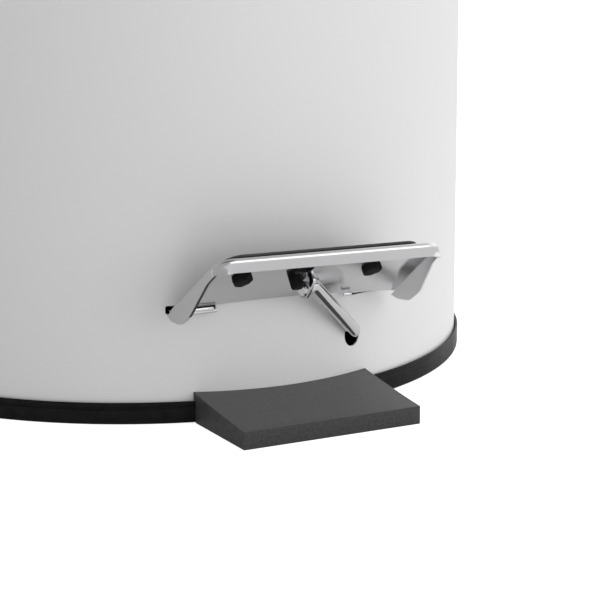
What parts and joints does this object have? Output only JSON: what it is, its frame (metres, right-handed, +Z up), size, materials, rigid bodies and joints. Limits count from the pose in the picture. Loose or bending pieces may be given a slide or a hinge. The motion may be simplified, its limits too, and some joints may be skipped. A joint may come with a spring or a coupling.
{
  "type": "pedal trash can",
  "caption": "Round white pedal bin with a domed lid, a lift-out inner bucket, a tilting chrome foot pedal and an anti-tip foot on its base.",
  "frame": {"origin": "on the floor, at the centre of the base's flat underside, on the axis of the round body", "axes": "+Z up along the body's axis; -Y towards the front, where the pedal is; +X to the right of someone who stands in front of the bin and looks at it"},
  "size_m": [0.299, 0.3512, 0.452],
  "materials": {
    "white_paint": "smooth satin white paint on sheet steel",
    "black_plastic": "moulded black plastic with a soft sheen",
    "foot_plastic": "dark grey moulded plastic with a fine grained texture",
    "chrome": "mirror chrome plate",
    "rubber": "matt black rubber",
    "zinc_steel": "bright zinc-plated steel",
    "bucket_plastic": "dark grey polypropylene"
  },
  "bodies": {
    "body": {"base_ring": "black_plastic", "anti_tip_foot": "foot_plastic", "foot_screw_left": "zinc_steel", "foot_screw_right": "zinc_steel", "body_shell": "white_paint", "rim_collar": "black_plastic", "inner_bucket": "bucket_plastic", "bucket_handle": "zinc_steel", "handle_grip": "black_plastic", "hinge_bracket": "zinc_steel", "hinge_rivet_left": "zinc_steel", "hinge_rivet_right": "zinc_steel", "hinge_pin": "zinc_steel", "push_rod_guide_lower": "black_plastic", "push_rod_guide_upper": "black_plastic", "guide_rivet_lower_left": "zinc_steel", "guide_rivet_lower_right": "zinc_steel", "guide_rivet_upper_left": "zinc_steel", "guide_rivet_upper_right": "zinc_steel", "fulcrum_saddle_inner": "black_plastic", "fulcrum_saddle_outer": "black_plastic", "saddle_screw_inner_1": "zinc_steel", "saddle_screw_inner_2": "zinc_steel", "saddle_screw_outer_1": "zinc_steel", "saddle_screw_outer_2": "zinc_steel"},
    "lid": {"lid_shell": "white_paint", "lid_liner": "black_plastic", "lid_bumper_1": "rubber", "lid_bumper_2": "rubber", "lid_bumper_3": "rubber", "lid_hinge_arm": "zinc_steel", "lid_rivet_left": "zinc_steel", "lid_rivet_right": "zinc_steel"},
    "pedal": {"pedal_plate": "chrome", "pedal_pad": "rubber"},
    "lever": {"lever_rod": "chrome"},
    "lift_rod": {"push_rod": "zinc_steel"}
  },
  "joints": [
    {"name": "lid_hinge", "type": "hinge", "parent": "body", "child": "lid", "pos_m": [0, 0.158, 0.404], "axis": [-1, 0, 0], "range_deg": [0, 80]},
    {"name": "pedal_hinge", "type": "hinge", "parent": "body", "child": "pedal", "pos_m": [0, -0.14, 0.048], "axis": [1, 0, 0], "range_deg": [0, 14.5]},
    {"name": "lever_hinge", "type": "hinge", "parent": "body", "child": "lever", "pos_m": [0, -0.105, 0.0305], "axis": [1, 0, 0], "range_deg": [0, 5.55]},
    {"name": "lift_rod_slide", "type": "slide", "parent": "body", "child": "lift_rod", "axis": [0, 0, 1], "range_m": [0, 0.0238]}
  ],
  "couplings": [
    {"joint": "pedal_hinge", "follows": "lid_hinge", "ratio": 0.18125},
    {"joint": "lever_hinge", "follows": "lid_hinge", "ratio": 0.06934},
    {"joint": "lift_rod_slide", "follows": "lid_hinge", "m_per_rad": 0.017033}
  ]
}
